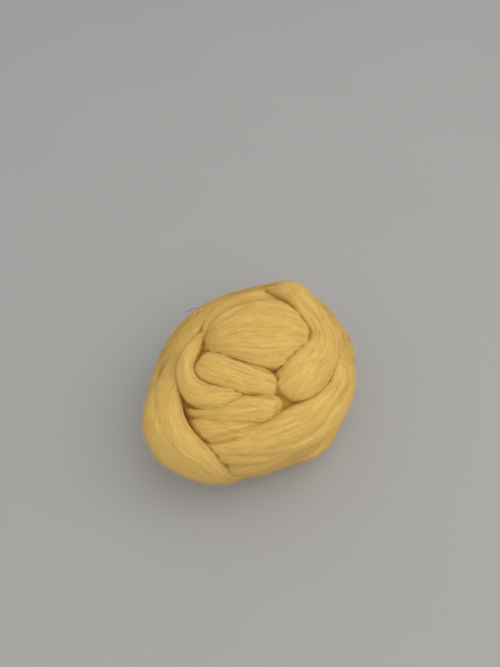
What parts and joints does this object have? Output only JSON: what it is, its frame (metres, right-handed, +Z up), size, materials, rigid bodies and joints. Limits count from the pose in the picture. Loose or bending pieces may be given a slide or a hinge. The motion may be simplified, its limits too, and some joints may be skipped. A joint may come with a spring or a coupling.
{
  "type": "wool roving ball",
  "caption": "Hand-wound oval ball of combed wool roving, with overlapping turns of soft strand and a small flat spot underneath.",
  "frame": {"origin": "middle of the ball's footprint, on the surface it rests on", "axes": "+Z up from the surface; +X to the right and +Y away, seen from the side where the turns cross on the ball's top"},
  "size_m": [0.1112, 0.115, 0.0775],
  "materials": {
    "wool": "soft matt combed wool, pale yellow, with a faint silky sheen along its fibres"
  },
  "bodies": {
    "root": {"roving_ball": "wool"}
  },
  "joints": []
}
